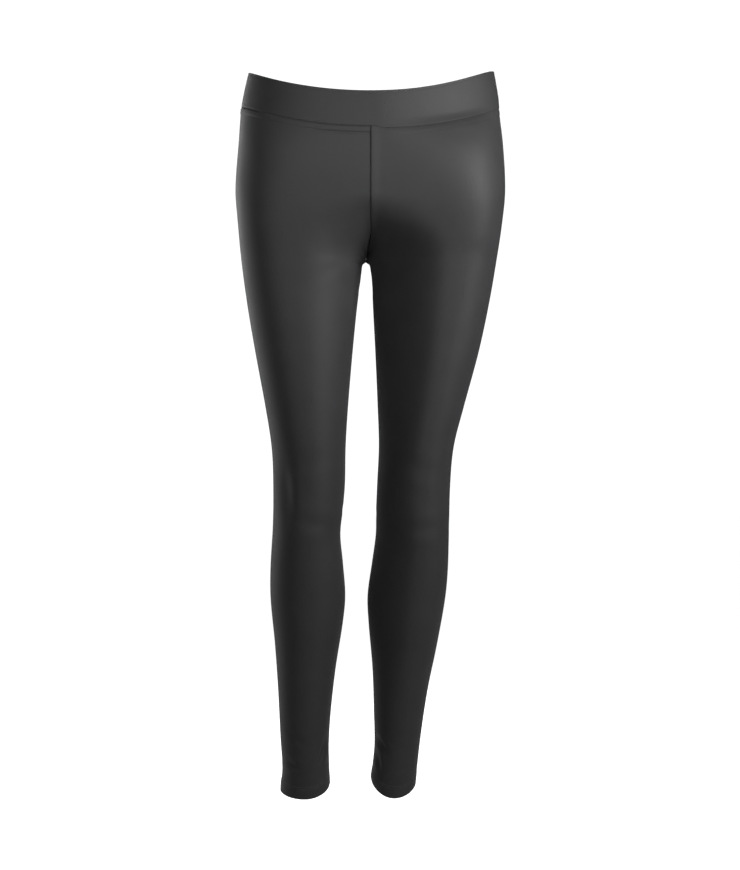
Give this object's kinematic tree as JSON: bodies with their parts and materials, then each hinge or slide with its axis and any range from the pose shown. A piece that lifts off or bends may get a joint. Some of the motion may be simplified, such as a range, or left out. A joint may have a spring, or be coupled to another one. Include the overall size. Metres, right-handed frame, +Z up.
{
  "type": "leggings",
  "caption": "Full-length stretch jersey leggings with a wide waistband, filled out as worn, hollow, with open waist and hems.",
  "frame": {"origin": "middle of the waistband ring, where the wearer's waist and hips hold the leggings up", "axes": "+Z up the body out of the waist opening, -Y towards the wearer's front, +X towards the wearer's left leg"},
  "size_m": [0.3481, 0.2401, 0.9415],
  "materials": {
    "panel_jersey": "matte black stretch jersey with a soft sheen",
    "band_jersey": "matte black stretch jersey, double layer"
  },
  "bodies": {
    "root": {"leg_right": "panel_jersey", "leg_left": "panel_jersey", "waistband": "band_jersey"}
  },
  "joints": []
}
